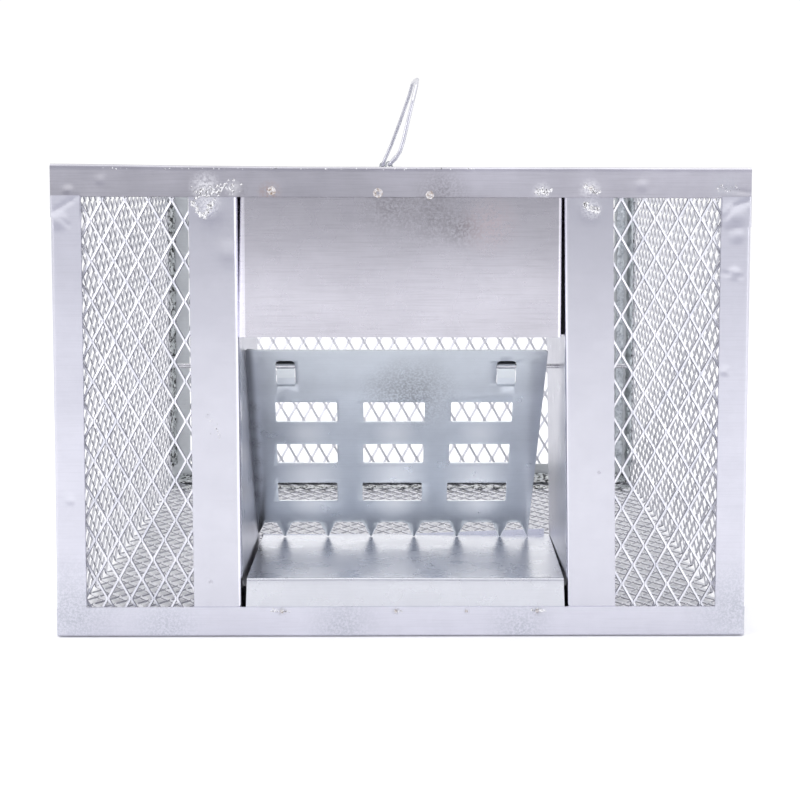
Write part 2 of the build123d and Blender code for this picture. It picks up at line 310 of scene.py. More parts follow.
# ---------------------------------------------------------------- materials
class Nodes:
    """Small helper for building a shader tree."""

    def __init__(self, name):
        self.material = bpy.data.materials.new(name)
        self.material.use_nodes = True
        self.tree = self.material.node_tree
        self.shader = self.tree.nodes["Principled BSDF"]

    def add(self, kind, **settings):
        node = self.tree.nodes.new(kind)
        for key, value in settings.items():
            setattr(node, key, value)
        return node

    def link(self, source, target):
        self.tree.links.new(source, target)

    def place(self, scale=(1, 1, 1)):
        """Position on the object, scaled along its axes."""
        where = self.add("ShaderNodeTexCoord")
        stretch = self.add("ShaderNodeMapping")
        stretch.inputs["Scale"].default_value = scale
        self.link(where.outputs["Object"], stretch.inputs["Vector"])
        return stretch.outputs["Vector"]

    def noise(self, scale, detail=3.0, rough=0.55, stretch=(1, 1, 1)):
        texture = self.add("ShaderNodeTexNoise")
        texture.inputs["Scale"].default_value = scale
        texture.inputs["Detail"].default_value = detail
        texture.inputs["Roughness"].default_value = rough
        self.link(self.place(stretch), texture.inputs["Vector"])
        return texture.outputs["Fac"]

    def cells(self, scale):
        """Random grey per cell, for zinc spangle."""
        texture = self.add("ShaderNodeTexVoronoi")
        texture.inputs["Scale"].default_value = scale
        self.link(self.place(), texture.inputs["Vector"])
        grey = self.add("ShaderNodeRGBToBW")
        self.link(texture.outputs["Color"], grey.inputs["Color"])
        return grey.outputs["Val"]

    def ramp(self, value, low, high, out_low=0.0, out_high=1.0):
        """Map a value between two limits, held at the ends."""
        node = self.add("ShaderNodeMapRange")
        node.inputs["From Min"].default_value = low
        node.inputs["From Max"].default_value = high
        node.inputs["To Min"].default_value = out_low
        node.inputs["To Max"].default_value = out_high
        self.link(value, node.inputs["Value"])
        return node.outputs["Result"]

    def math(self, operation, first, second):
        node = self.add("ShaderNodeMath", operation=operation)
        for socket, value in zip(node.inputs, (first, second)):
            if isinstance(value, (int, float)):
                socket.default_value = value
            else:
                self.link(value, socket)
        return node.outputs["Value"]

    def mix(self, amount, first, second):
        """Mix two colours by an amount."""
        node = self.add("ShaderNodeMix", data_type="RGBA")
        for socket, value in ((node.inputs[0], amount), (node.inputs[6], first),
                              (node.inputs[7], second)):
            if isinstance(value, tuple):
                socket.default_value = value + (1,)
            elif isinstance(value, (int, float)):
                socket.default_value = value
            else:
                self.link(value, socket)
        return node.outputs[2]

    def spot(self, centre, radius, soft=0.5):
        """1 near a point of the object, fading to 0 at a radius."""
        where = self.add("ShaderNodeTexCoord")
        away = self.add("ShaderNodeVectorMath", operation="DISTANCE")
        self.link(where.outputs["Object"], away.inputs[0])
        away.inputs[1].default_value = centre
        return self.ramp(away.outputs["Value"], radius * soft, radius, 1.0, 0.0)

    def along(self, axis):
        """Position on the object along one axis."""
        where = self.add("ShaderNodeTexCoord")
        split = self.add("ShaderNodeSeparateXYZ")
        self.link(where.outputs["Object"], split.inputs["Vector"])
        return split.outputs[axis]

    def fade(self, axis, start, end, factor):
        """1 at one place along an axis of the object, turning to a factor at another."""
        node = self.add("ShaderNodeMapRange", interpolation_type="SMOOTHSTEP")
        limits = (start, end, 1.0, factor) if start < end else (end, start, factor, 1.0)
        for socket, value in zip(("From Min", "From Max", "To Min", "To Max"), limits):
            node.inputs[socket].default_value = value
        self.link(self.along(axis), node.inputs["Value"])
        return node.outputs["Result"]

    def spread(self, axis, half):
        """0 nearer to the middle than a half width along an axis, and 1 beyond it."""
        return self.ramp(self.math("ABSOLUTE", self.along(axis), 0), half * 0.97, half)

    def scaled(self, tone, level):
        """A tone made lighter or darker by a level."""
        node = self.add("ShaderNodeVectorMath", operation="SCALE")
        node.inputs[0].default_value = tone
        self.link(level, node.inputs["Scale"])
        return node.outputs["Vector"]

    def bump(self, height, strength, distance, below=None):
        node = self.add("ShaderNodeBump")
        node.inputs["Strength"].default_value = strength
        node.inputs["Distance"].default_value = distance
        self.link(height, node.inputs["Height"])
        if below is not None:
            self.link(below, node.inputs["Normal"])
        return node.outputs["Normal"]

    def metal(self, colour, roughness, metallic, normal):
        """Join the results to the shader, and give the finished material."""
        self.link(colour, self.shader.inputs["Base Color"])
        self.link(roughness, self.shader.inputs["Roughness"])
        self.link(normal, self.shader.inputs["Normal"])
        self.shader.inputs["Metallic"].default_value = metallic
        return self.material


def galvanised(name, tone, rough, clouds, lines, fades=(), marks=(), dull=None):
    """Zinc-coated steel: cloudy tint, faint spangle, rolling lines, specks and marks.

    A fade is (axis, from, to, factor): beyond "to" the tone is multiplied by the factor; the fades paint
    shade and highlights into the tone.
    A mark is (kind, centre, radius).  dull is a fade of the roughness.
    """
    nodes = Nodes(name)
    cloud = nodes.ramp(nodes.noise(24, 4.0, 0.6), 0.34, 0.68, 1.0, 1 - clouds)
    flakes = nodes.ramp(nodes.cells(300), 0.2, 0.8, 1.0, 0.985)
    rolled = nodes.noise(1300, 2.0, 0.6, rolled_grain)
    level = nodes.math("MULTIPLY", cloud, flakes)
    level = nodes.math("MULTIPLY", level, nodes.ramp(rolled, 0.45, 0.70, 1.0, 1 - lines))
    # painted light: each fade darkens the tone as shade, or brightens it as a highlight, along an axis
    for axis, start, end, factor in fades:
        level = nodes.math("MULTIPLY", level, nodes.fade(axis, start, end, factor))
    colour = nodes.scaled(tone, level)
    specks = nodes.noise(1500, 2.0, 0.7)
    colour = nodes.mix(nodes.ramp(specks, 0.70, 0.76, 0.0, 0.35), colour, (0.18, 0.17, 0.19))
    roughness = nodes.ramp(nodes.noise(60, 3.0), 0.3, 0.7, rough - 0.03, rough + 0.05)
    if dull:
        roughness = nodes.math("MULTIPLY", roughness, nodes.fade(*dull))
    for kind, centre, radius in marks:
        broken = nodes.ramp(nodes.noise(800, 4.0, 0.8), 0.42, 0.56)
        mask = nodes.spot(centre, radius, 0.15)
        # pale marks are painted highlight halos, laid whole; the other marks are broken
        if kind != "pale":
            mask = nodes.math("MULTIPLY", mask, broken)
        amount, stain_and_highlight = mark_colours[kind]
        colour = nodes.mix(nodes.math("MULTIPLY", mask, amount), colour, stain_and_highlight)
        if kind != "pale":
            roughness = nodes.math("ADD", roughness, nodes.math("MULTIPLY", mask, 0.25))
    fine = nodes.bump(rolled, 0.4 * lines, 0.03 * mm)
    broad = nodes.bump(nodes.noise(40, 2.0, 0.5), 0.08, 0.4 * mm, fine)
    return nodes.metal(colour, roughness, 1.0, broad)


def strand_metal(name, pale, dark, rough, metallic):
    """Expanded metal: rolled faces are bright, sheared edges dull and torn; the darker edge tone is
    partly painted shade on the strands' sides.
    """
    nodes = Nodes(name)
    patches = nodes.ramp(nodes.noise(90, 3.0, 0.6), 0.35, 0.7)
    colour = nodes.mix(patches, pale, dark)
    grit = nodes.noise(1800, 2.0, 0.7)
    colour = nodes.mix(nodes.ramp(grit, 0.60, 0.74, 0.0, 0.3), colour, (0.30, 0.30, 0.33))
    roughness = nodes.ramp(grit, 0.3, 0.7, rough - 0.05, rough + 0.08)
    return nodes.metal(colour, roughness, metallic, nodes.bump(grit, 0.15, 0.04 * mm))


def wire_metal(name, pale, dark, rough):
    """Drawn galvanised wire: fine scratches along it and dull patches."""
    nodes = Nodes(name)
    patches = nodes.ramp(nodes.noise(140, 3.0, 0.6), 0.35, 0.7)
    colour = nodes.mix(patches, pale, dark)
    scratch = nodes.noise(1200, 3.0, 0.7)
    colour = nodes.mix(nodes.ramp(scratch, 0.58, 0.72, 0.0, 0.35), colour, (0.20, 0.20, 0.22))
    roughness = nodes.ramp(scratch, 0.3, 0.7, rough - 0.05, rough + 0.10)
    return nodes.metal(colour, roughness, 1.0, nodes.bump(scratch, 0.2, 0.04 * mm))


def weld_metal(name, pale, burnt_and_shaded, low, high, scale=900):
    """Weld and spatter: pale crust broken by scorched dark flecks, which on the black rear seams are
    painted shadow.
    """
    nodes = Nodes(name)
    burn_and_shade = nodes.ramp(nodes.noise(scale, 4.0, 0.75), low, high)
    roughness = nodes.ramp(burn_and_shade, 0, 1, 0.30, 0.60)
    return nodes.metal(nodes.mix(burn_and_shade, pale, burnt_and_shaded), roughness, 0.85,
                       nodes.bump(burn_and_shade, 0.4, 0.1 * mm))


rolled_grain = (0.03, 1, 1)             # the rolling lines run along X
mark_colours = {
    "rust": (0.55, (0.36, 0.22, 0.16)),
    "frost": (0.70, (0.93, 0.93, 0.95)),
    "soot": (0.45, (0.12, 0.11, 0.12)),
    "tarnish": (0.50, (0.46, 0.49, 0.53)),
    "blush": (0.22, (0.55, 0.34, 0.33)),
    # pale: a painted highlight, used for the lighter halos on the flap
    "pale": (0.85, (0.98, 1.0, 1.0)),
}


def at_front(x, z):
    """A point of the front face, from millimetres across and up."""
    return (x * mm, front, z * mm)


def front_marks(*rows):
    """Marks of the front face, each (kind, across, up, radius) in millimetres."""
    return tuple((kind, at_front(x, z), radius * mm) for kind, x, z, radius in rows)


# its fade is painted shade: the strips grow darker towards the top
strip_metal = galvanised(
    "galvanised strip", (0.70, 0.70, 0.77), 0.32, clouds=0.06, lines=0.04,
    fades=((2, 120 * mm, 220 * mm, 0.90),), marks=front_marks(
        ("frost", -98, 212, 9.0),
        ("tarnish", -168, 12, 34),
        ("tarnish", -120, 3, 22),
        ("tarnish", 171, 14, 30),
        ("tarnish", -30, 5, 22),
        ("tarnish", 60, 4, 20),
        ("soot", -61, 13, 3.0),
        ("soot", -3, 13, 2.5),
        ("soot", 33, 13, 2.0),
        ("soot", 69, 13, 3.0),
    ))
# its fades are painted shade: darker towards the left end, and along the lower edge of its face
head_metal = galvanised(
    "galvanised head strip", (0.63, 0.62, 0.675), 0.32, clouds=0.16, lines=0.08,
    fades=((0, 70 * mm, -40 * mm, 0.79), (2, 232 * mm, 224 * mm, 0.93)), marks=front_marks(
        ("rust", -66, 225, 7.0),
        ("soot", -82, 226, 6.0),
        ("soot", 20, 224, 16),
        ("frost", 70, 226, 5.5),
        ("frost", 94, 227, 6.5),
        ("soot", 95, 227.5, 2.0),
        ("frost", -98, 228, 9.0),
        ("frost", -84, 227, 5.0),
        ("tarnish", 162, 228, 9.0),
    ))
# its fades paint light: painted shade towards the top of the posts, a painted highlight on their inner
# folds, and painted shade further back along their returns
plate_metal = galvanised(
    "galvanised plate", (0.63, 0.63, 0.69), 0.30, clouds=0.03, lines=0.02,
    fades=((2, 150 * mm, 222 * mm, 0.87), (1, front + 1.25 * mm, front + 1.5 * mm, 1.45),
           (1, front + 3.0 * mm, front + 4.0 * mm, 0.70)),
    dull=(1, front + 9 * mm, front + 5 * mm, 0.75),
    marks=front_marks(
        ("frost", -97, 219, 8),
        ("frost", 95, 217, 6),
        ("soot", -97, 28, 1.8),
        ("soot", 100, 84, 1.6),
        ("soot", -98, 113, 1.8),
    ))
# its fades paint light: painted shade towards its top and a little towards its foot, and painted
# highlights along its side folds
lintel_metal = galvanised(
    "galvanised lintel", (0.74, 0.725, 0.78), 0.26, clouds=0.09, lines=0.09,
    fades=((2, 158 * mm, 224 * mm, 0.62), (2, 175 * mm, 155 * mm, 0.93),
           (0, lintel_high.x - 2.0 * mm, lintel_high.x - 1.4 * mm, 1.4),
           (0, -lintel_high.x + 2.0 * mm, -lintel_high.x + 1.4 * mm, 1.4)), marks=front_marks(
        ("soot", -6, 219, 18),
        ("soot", 16, 215, 20),
        ("soot", 30, 207, 12),
        ("blush", 44, 209, 17),
    ))
# its fade is painted shade: the front face is darker than the top
sill_metal = galvanised(
    "galvanised threshold", (0.93, 0.945, 1.0), 0.27, clouds=0.04, lines=0.03,
    fades=((1, front + 4 * mm, front + 2.2 * mm, 0.715),))
# painted highlight: lighter halos round the punched windows of the flap; and soot along its left edge
painted_halos_and_edge_soot = tuple(
    ("pale", (x * mm, front + y * mm, z * mm), radius * mm)
    for x in (-51, -4, 42) for y, z, radius in ((72, 97, 13), (91, 72, 20), (106, 53, 13)))
painted_halos_and_edge_soot += tuple(
    ("soot", (-80 * mm, front + (60 + 8.4 * step) * mm, (112 - 11 * step) * mm), 6 * mm)
    for step in range(6))
# its fades are painted shade: darker towards the left edge, towards the top and towards the toothed foot
flap_metal = galvanised(
    "galvanised flap", (0.78, 0.825, 0.86), 0.30, clouds=0.10, lines=0.03,
    fades=((0, -76 * mm, -80 * mm, 0.45), (2, 114 * mm, 124 * mm, 0.84),
           (2, 132 * mm, 140 * mm, 0.98), (2, 52 * mm, 38 * mm, 0.80)),
    marks=(
        ("soot", (4 * mm, front + 53 * mm, 119 * mm), 30 * mm),
    ) + painted_halos_and_edge_soot)
gate_metal = galvanised(
    "galvanised gate strip", (0.70, 0.73, 0.73), 0.34, clouds=0.14, lines=0.06)
rear_metal = galvanised(
    "galvanised rear strip", (0.76, 0.79, 0.79), 0.36, clouds=0.20, lines=0.05)
# black sheet for the slots and behind the tongues: painted shadow
slot_shadow_paint = galvanised(
    "painted slot shadow", (0.05, 0.05, 0.06), 0.60, clouds=0.3, lines=0.2)
strand_face = strand_metal("strand face", (0.88, 0.88, 0.92), (0.70, 0.71, 0.76), 0.34, 0.75)
window_face = strand_metal("window strand face", (0.88, 0.88, 0.92), (0.66, 0.67, 0.73),
                           0.30, 0.70)
# the strands' sides: dull sheared steel, made darker still as painted shade
strand_edge_and_shade = strand_metal("strand sheared edge and painted shade", (0.50, 0.50, 0.54), (0.34, 0.34, 0.38),
                           0.40, 0.9)
rod_metal = wire_metal("hinge rod wire", (0.70, 0.70, 0.72), (0.45, 0.45, 0.48), 0.22)
handle_metal = wire_metal("handle wire", (0.72, 0.72, 0.77), (0.56, 0.56, 0.61), 0.26)
spot_weld = weld_metal("spot weld", (0.74, 0.72, 0.72), (0.30, 0.22, 0.16), 0.46, 0.62)
spatter_metal = weld_metal("weld spatter", (0.90, 0.90, 0.91), (0.12, 0.11, 0.11),
                           0.50, 0.58, 1400)
seam_shadow_paint = weld_metal("painted seam shadow", (0.74, 0.76, 0.76), (0.03, 0.03, 0.03),
                        0.50, 0.56, 330)
faint_seam_shadow_paint = weld_metal("faint painted seam shadow", (0.70, 0.74, 0.76), (0.10, 0.11, 0.12),
                              0.58, 0.66, 260)
smear_metal = weld_metal("zinc smear", (0.74, 0.78, 0.80), (0.42, 0.46, 0.49),
                         0.45, 0.65, 420)


# ------------------------------------------------------------- frame strips
def crease(point, start, end, width):
    """Height from 0 to 1 of a sharp fold line between two places (x, z) of the front."""
    place = Vector((point.x, point.z)) / mm
    start, end = Vector(start), Vector(end)
    run = end - start
    along = min(1.0, max(0.0, (place - start).dot(run) / run.length_squared))
    return max(0.0, 1 - (place - start - run * along).length / width)


knocks = ((-166, 226, 3, 0.5), (-171, 211, 6, 0.5), (166, 214, 8, 0.8), (168, 204, 5, 0.5),
          (167, 185, 4, 0.5), (163, 136, 3, 0.4), (-167, 70, 3, 0.3), (95, 225, 5, 0.4),
          (-98, 223, 6, 0.4), (-60, 8, 5, 0.3), (-150, 231, 3, 0.3), (120, 229, 4, 0.25))
creases = (((-173.5, 215), (-165, 220.5), 1.8, 0.55), ((-165, 220.5), (-161.5, 223), 1.4, 0.45),
           ((-170, 212), (-166, 208.5), 1.4, 0.4), ((162, 213), (167, 218.5), 2.0, 0.6),
           ((167, 218.5), (174, 221.5), 2.2, 0.65), ((159, 228), (174, 225.5), 1.4, 0.35),
           ((161.5, 185.2), (170.5, 183.6), 1.3, 0.45), ((162, 137), (165, 135.5), 1.0, 0.4))


def strip_shape(point):
    """Uneven hand-folded strip: gentle waves, corner creases and knocks."""
    shift = Vector((0, 0, 0))
    if point.y < front + 4 * mm:
        shift.y += 0.09 * mm * waves(point, 38 * mm, 3.0)
        shift.y += 0.03 * mm * waves(point, 11 * mm, 8.0)
        for x, z, radius, depth in knocks:
            shift.y += depth * mm * dent(point, at_front(x, z), radius * mm)
        for start, end, width, height in creases:
            shift.y -= 0.7 * height * mm * crease(point, start, end, width) ** 1.5
        # the head strip is a little wider towards its left end
        if point.z > cage_top - 8 * mm:
            leftward = max(0.0, (-point.x / mm - 40) / 135)
            shift.z += 1.2 * mm * leftward ** 1.3 * (point.z / mm - cage_top / mm + 8) / 8
    shift.z += 0.12 * mm * waves(point, 60 * mm, 5.0)
    return shift


def strip(name, node, outline, place, start, end, metal=strip_metal, spacing=4 * mm):
    """One folded strip of the cage that stands for a node."""
    folded(name, outline, place, start, end, "cage", metal, (strip_shape,),
           spacing, node)


bend = 1.3 * mm
knock_size = 1.2 * mm                    # faces small enough to show dents and creases
face_line = front + rail_sheet / 2
top_line = cage_top - rail_sheet / 2
strip("front_top_strip", "front_rail_top", sheet_outline(
    [(face_line, cage_top - rail_width), (face_line, top_line), (return_end, top_line)],
    rail_sheet, 1.2 * mm, knock_size), along_x, -half_width, half_width, head_metal, knock_size)
strip("front_bottom_strip", "front_rail_bottom", sheet_outline(
    [(face_line, rail_width), (face_line, rail_sheet / 2), (return_end, rail_sheet / 2)],
    rail_sheet, bend, 3 * mm), along_x, -half_width, half_width)


def side_strips(end, line, back, metal, spacing):
    """The two upright strips of one end of the cage."""
    for side, name in hands:
        edge_line = side * (half_width - rail_sheet / 2)
        strip(f"{end}_{name}_strip", f"{end}_rail_{name}", sheet_outline(
            [(side * (half_width - rail_width), line), (edge_line, line), (edge_line, back)],
            rail_sheet, bend, spacing), along_z, rail_width, cage_top - rail_width,
            metal, spacing)


side_strips("front", face_line, return_end, strip_metal, knock_size)

# the ends of the top strip are folded down over the side strips
cap_sheet = 0.5 * mm
for side, name, foot in ((-1, "left", 212.6 * mm), (1, "right", 208.2 * mm)):
    edge_line = side * half_width
    folded(f"corner_lap_{name}", sheet_outline(
        [(side * (half_width - rail_width + 0.4 * mm), front - cap_sheet * 0.4),
         (edge_line, front - cap_sheet * 0.4), (edge_line, front + 10 * mm)],
        cap_sheet, 1.0 * mm, knock_size), along_z, foot, cage_top - rail_width + 0.5 * mm,
        "cage", strip_metal, (strip_shape,), knock_size)

rear_front = rear_face - rail_sheet
rear_line = rear_face - rail_sheet / 2
rear_return = rear_low.y
strip("rear_top_strip", "rear_rail_top", sheet_outline(
    [(rear_line, cage_top - rail_width), (rear_line, top_line), (rear_return, top_line)],
    rail_sheet, bend), along_x, -half_width, half_width, rear_metal)
strip("rear_bottom_strip", "rear_rail_bottom", sheet_outline(
    [(rear_line, rail_width), (rear_line, rail_sheet / 2), (rear_return, rail_sheet / 2)],
    rail_sheet, bend), along_x, -half_width, half_width, rear_metal)
side_strips("rear", rear_line, rear_return, rear_metal, 4 * mm)


# crumpled ribbons along the rear frame's joints, where the cut ends of the meshes are bent in; their
# black mottle is painted shadow of the overlap
def ragged(point):
    """Crumpled edge."""
    return Vector((0.9 * waves(point, 3.2 * mm, 51.0), 1.2 * waves(point, 4.5 * mm, 53.0),
                   0.9 * waves(point, 3.6 * mm, 57.0))) * mm


crumple_size = 1.2 * mm                  # faces small enough to look crumpled


def seam(name, profile, place, start, end, metal=seam_shadow_paint):
    """A narrow crumpled ribbon along a joint of the rear frame, mottled black by default as painted
    shadow.
    """
    folded(name, sheet_outline(profile, 0.6 * mm, 1 * mm, crumple_size), place, start, end,
           "cage", metal, (ragged,), crumple_size)


for side, name, metal in ((-1, "left", seam_shadow_paint), (1, "right", faint_seam_shadow_paint)):
    seam(f"rear_seam_{name}",
         [(side * (half_width - 2.4 * mm), rear_front - 12 * mm),
          (side * (half_width - 5.0 * mm), rear_front - 1.2 * mm)],
         along_z, rail_width, cage_top - rail_width, metal)
seam("rear_smear_right", [(half_width - 13 * mm, rear_front - 1.6 * mm),
                          (half_width - 8 * mm, rear_front - 2.2 * mm)],
     along_z, rail_width, cage_top - rail_width, smear_metal)
seam("rear_seam_foot", [(rear_front - 16 * mm, 3.6 * mm), (rear_front - 1.4 * mm, 8 * mm)],
     along_x, -half_width + 5 * mm, half_width - 5 * mm)
seam("rear_seam_floor", [(rear_front - 42 * mm, 3.2 * mm), (rear_front - 34 * mm, 3.6 * mm)],
     along_x, -half_width + 5 * mm, half_width - 5 * mm)

# ------------------------------------------------------------ expanded metal
def strand_ring(centres, sides, strand, thick, tilt, crown):
    """Corner points of one strand: a ribbon turned about its own run.

    crown is the width of its outer face as a part of the width of its inner one.
    """
    ring = []
    for centre, side in zip(centres, sides):
        for cross, lift in ((-1, -1), (1, -1), (1, 1), (-1, 1)):
            half = cross * strand / 2 * (crown if lift > 0 else 1)
            across = half * math.cos(tilt) - lift * thick / 2 * math.sin(tilt)
            out = half * math.sin(tilt) + lift * thick / 2 * math.cos(tilt)
            flat = centre + side * across
            ring.append((flat[0], flat[1], out))
    return np.array(ring)


def expanded_metal(name, node, corner, across, up, columns, rows, width, height,
                   first=0, strand=1.45 * mm, thick=0.8 * mm, tilt=0.45,
                   bond=2.2 * mm, crown=1.0, body="cage", face=None):
    """Raised expanded metal over a rectangle.

    corner is its first corner, across the short way of the diamonds and up the
    long way.  columns and rows count half diamonds.  Each strand zigzags and is
    joined to the next one over the length of a bond, where they run side by side.
    """
    corner, across, up = Vector(corner), Vector(across), Vector(up)
    step_x, step_y = width / columns, height / rows
    offset = strand * 0.40 * crown
    run = np.array([step_x - 2 * offset, step_y - bond])
    run /= np.linalg.norm(run)
    diagonal = np.array([run[1], -run[0]])
    mitre = diagonal + np.array([1.0, 0.0])
    mitre /= 1 + diagonal[0]
    centres = np.array([[offset, 0], [offset, bond / 2],
                        [step_x - offset, step_y - bond / 2], [step_x - offset, step_y]])
    sides = np.array([[1.0, 0.0], mitre, mitre, [1.0, 0.0]])
    right_going = strand_ring(centres, sides, strand, thick, tilt, crown)
    left_going = strand_ring(centres, sides, strand, thick, -tilt, crown) * np.array([-1, 1, 1])
    # index 1 takes the darker side material: sheared steel and painted shade
    quads, edges = [(3, 2, 1, 0), (12, 13, 14, 15)], [1, 1]
    for station in range(3):
        quads += band(station * 4, station * 4 + 4, 4)
        edges += [0, 1, 0, 1]
    quads = np.array(quads)
    corners, faces = [], []
    for row in range(rows):
        for column in range(columns + 1):
            if (row + column + first) % 2:
                continue
            start = np.array([column * step_x, row * step_y, 0.0])
            if column < columns:
                faces.append(quads + 16 * len(corners))
                corners.append(right_going + start)
            if column > 0:
                faces.append(quads[:, ::-1] + 16 * len(corners))
                corners.append(left_going + start)
    basis = np.array([across, up, across.cross(up)])
    placed = np.concatenate(corners) @ basis + np.array(corner)
    mesh = bpy.data.meshes.new(name)
    mesh.from_pydata(placed.tolist(), [], np.concatenate(faces).tolist())
    mesh.materials.append(face or strand_face)
    mesh.materials.append(strand_edge_and_shade)
    mesh.polygons.foreach_set("material_index", np.tile(edges, len(corners)))
    mesh.update()
    piece = linked(name, mesh)
    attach(piece, body)
    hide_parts(node)


wall_low, wall_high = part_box("mesh_left")
floor_low, floor_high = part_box("mesh_floor")
roof_low, roof_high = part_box("mesh_top")
wall_x = -(wall_low.x + wall_high.x) / 2
floor_z = (floor_low.z + floor_high.z) / 2
roof_z = (roof_low.z + roof_high.z) / 2
mesh_start, mesh_end = wall_low.y, wall_high.y
mesh_run = mesh_end - mesh_start
long_halves = 52
wall_halves = 41
floor_halves = 60
for name, level, first in (("floor", floor_z, 0), ("top", roof_z, wall_halves % 2)):
    expanded_metal(f"expanded_{name}", f"mesh_{name}", (-wall_x, mesh_start, level),
                   (1, 0, 0), (0, 1, 0), floor_halves, long_halves, 2 * wall_x, mesh_run,
                   first=first)
for side, name in hands:
    expanded_metal(f"expanded_{name}", f"mesh_{name}", (side * wall_x, mesh_start, floor_z),
                   (0, 0, 1), (0, 1, 0), wall_halves, long_halves, roof_z - floor_z, mesh_run)

# the windows beside the tunnel: long way up, and each leaning a little
window_low, window_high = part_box("front_mesh_left")
window_y = (window_low.y + window_high.y) / 2
window_columns = 14
for name, left, foot, lean, rows, half_across, half_up, tilt in (
        ("left", -166.8, 6.6, -0.002, 22, 5.82, 10.09, 0.34),
        ("right", 89.6, 4.3, -0.013, 23, 5.75, 9.79, -0.34)):
    expanded_metal(f"expanded_window_{name}", f"front_mesh_{name}",
                   (left * mm, window_y, window_low.z + foot * mm), (1, 0, 0), (lean, 0, 1),
                   window_columns, rows, window_columns * half_across * mm,
                   rows * half_up * mm, strand=1.3 * mm, tilt=tilt, bond=1.1 * mm,
                   crown=0.8, face=window_face)


# ------------------------------------------------------------------- tunnel
def panel_shape(point):
    """Thin plate: slow waves that bend its reflections."""
    shift = Vector((0, 0, 0))
    if point.y < plate_front + 3 * mm:
        shift.y += 0.16 * mm * waves(point, 70 * mm, 12.0)
        shift.y += 0.05 * mm * waves(point, 18 * mm, 15.0)
        for x, z, radius, depth in ((-88, 195, 6, 0.35), (-97, 217, 8, 0.4),
                                    (95, 217, 6, 0.35), (-92, 102, 4, 0.2)):
            shift.y += depth * mm * dent(point, at_front(x, z), radius * mm)
    else:
        shift.x += 0.35 * mm * waves(point, 90 * mm, 21.0)
    return shift


# how far the foot and the head of each post stand to the right of its place
right_post_foot, right_post_head = 1.8 * mm, -1.8 * mm
left_post_foot, left_post_head = 1.9 * mm, 0.9 * mm


def right_lean(point):
    """The right-hand post stands a little askew, its head towards the tunnel."""
    height = (point.z - right_post_low.z) / (right_post_high.z - right_post_low.z)
    return Vector((right_post_foot - (right_post_foot - right_post_head) * height, 0, 0))


def left_lean(point):
    """The left-hand post leans the same way, but less."""
    height = (point.z - left_post_low.z) / (left_post_high.z - left_post_low.z)
    return Vector((left_post_foot - (left_post_foot - left_post_head) * height, 0, 0))


post_line = plate_front + sheet / 2
for side, name, low, high, fold, lean in (
        (-1, "left", left_post_low, left_post_high, 3.0 * mm, left_lean),
        (1, "right", right_post_low, right_post_high, 2.0 * mm, right_lean)):
    inner = (high.x if side < 0 else low.x) + side * sheet / 2
    outer = low.x if side < 0 else high.x
    folded(f"tunnel_{name}", sheet_outline(
        [(outer, post_line), (inner, post_line), (inner, high.y)], sheet, fold),
        along_z, low.z, high.z, "cage", plate_metal, (panel_shape, lean),
        node=f"tunnel_side_{name}")

lintel_line = lintel_low.y + sheet / 2
lintel_half = lintel_high.x - sheet / 2
lintel_foot, lintel_head = -1.9 * mm, -0.3 * mm     # where its left-hand fold is moved to


def lintel_shape(point):
    """The lintel's left-hand fold slants, so that the slot beside it tapers."""
    height = (point.z - lintel_low.z) / (lintel_high.z - lintel_low.z)
    beside = max(0.0, -point.x / lintel_half)
    shift = lintel_foot + (lintel_head - lintel_foot) * height
    return panel_shape(point) + Vector((shift * beside ** 3, 0, 0))


folded("lintel", sheet_outline(
    [(-lintel_half, lintel_high.y), (-lintel_half, lintel_line),
     (lintel_half, lintel_line), (lintel_half, lintel_high.y)], sheet, 1.6 * mm),
    along_z, lintel_low.z + 0.2 * mm, lintel_high.z, "cage", lintel_metal,
    (lintel_shape,), node="lintel_plate")
hem_half = lintel_half - 1.6 * mm
folded("lintel_hem", sheet_outline(
    [(lintel_line + sheet, lintel_low.z + 9 * mm),
     (lintel_line + sheet * 0.9, lintel_low.z + 0.9 * mm),
     (lintel_high.y, lintel_low.z + 0.5 * mm)], sheet, 0.9 * mm, 3 * mm),
    along_x, -hem_half, hem_half, "cage", lintel_metal, (panel_shape,))

# the slots beside the lintel and the threshold end in a channel of thin black sheet: painted shadow for
# the unlit depth of each slot
shadow_sheet = 0.25 * mm
shadow_sheet_front, shadow_sheet_back = plate_front + 2.6 * mm, plate_front + 9 * mm
for side, name, lean in ((-1, "left", left_lean), (1, "right", right_lean)):
    for part, foot, head, outer, inner in (
            ("lintel", lintel_low.z + 1 * mm, lintel_high.z, left_post_high.x, -lintel_half),
            ("threshold", rail_sheet, 24 * mm, left_post_high.x, sill_low.x)):
        centre = (abs(outer) + abs(inner)) / 2
        spread = (abs(outer) - abs(inner)) / 2 + 0.3 * mm
        near, far = side * (centre - spread), side * (centre + spread)
        folded(f"slot_{part}_{name}", sheet_outline(
            [(near, shadow_sheet_front), (near, shadow_sheet_back), (far, shadow_sheet_back), (far, shadow_sheet_front)],
            shadow_sheet, 0.5 * mm), along_z, foot, head, "cage", slot_shadow_paint, (lean,))

# threshold: a box folded from one sheet, with an upstand at its back
sill_top = bottom_rail_high.z * 2
sill_line = sill_top - sheet / 2
sill_aside = 1.9 * mm                    # the whole box stands to the right
sill_taper = 0.015                       # part of its width lost at the top
sill_flare = 1.5 * mm                    # its back right corner reaches further


